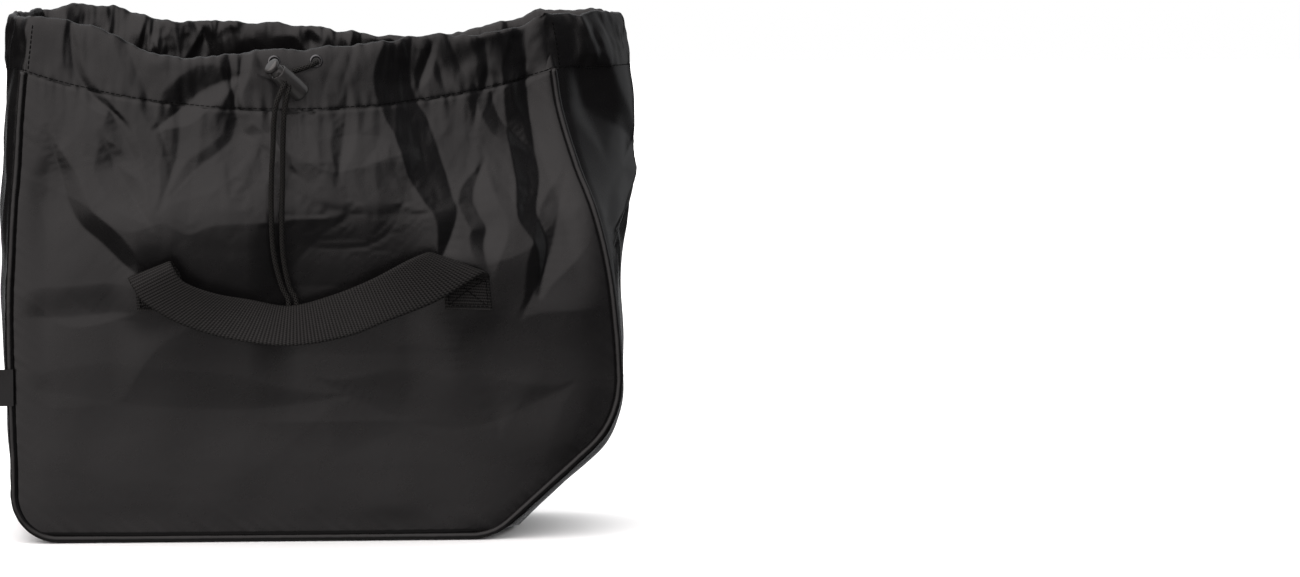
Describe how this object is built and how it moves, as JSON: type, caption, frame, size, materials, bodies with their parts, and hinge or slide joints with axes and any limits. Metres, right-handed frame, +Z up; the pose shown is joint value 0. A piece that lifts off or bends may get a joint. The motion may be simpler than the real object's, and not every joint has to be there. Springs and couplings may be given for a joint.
{
  "type": "saddlebag liner",
  "caption": "Soft black nylon drawstring liner bag for a motorcycle saddlebag, standing open, with piped seams, a slanted corner, webbing handles and a cord lock on the drawcord.",
  "frame": {"origin": "middle of the bag's box seen from above, on the surface that it stands on", "axes": "+X along the bag towards its slanted corner, +Y from the front with the cord lock to the rear, +Z up"},
  "size_m": [0.5115, 0.2729, 0.419],
  "materials": {
    "nylon": "black plain-weave nylon with a soft sheen",
    "webbing": "black ribbed nylon webbing",
    "cord": "black braided cord",
    "tab": "black woven tape",
    "plastic": "satin moulded black plastic",
    "black_metal": "gloss black enamel"
  },
  "bodies": {
    "bag": {"front_panel": "nylon", "rear_panel": "nylon", "gusset": "nylon", "casing": "nylon", "front_piping": "nylon", "rear_piping": "nylon", "front_handle": "webbing", "rear_handle": "webbing", "eyelet_left": "black_metal", "eyelet_right": "black_metal", "drawcord_loop": "cord", "drawcord_left": "cord", "drawcord_right": "cord", "drawcord_knot": "cord", "label_tab": "tab", "cord_lock_barrel": "plastic"},
    "plunger": {"cord_lock_plunger": "plastic"}
  },
  "joints": [
    {"name": "plunger_press", "type": "slide", "parent": "bag", "child": "plunger", "axis": [0.6782, 0.3675, -0.6364], "range_m": [0, 0.005], "stiffness_N_per_m": 400, "springref_m": -0.01}
  ]
}
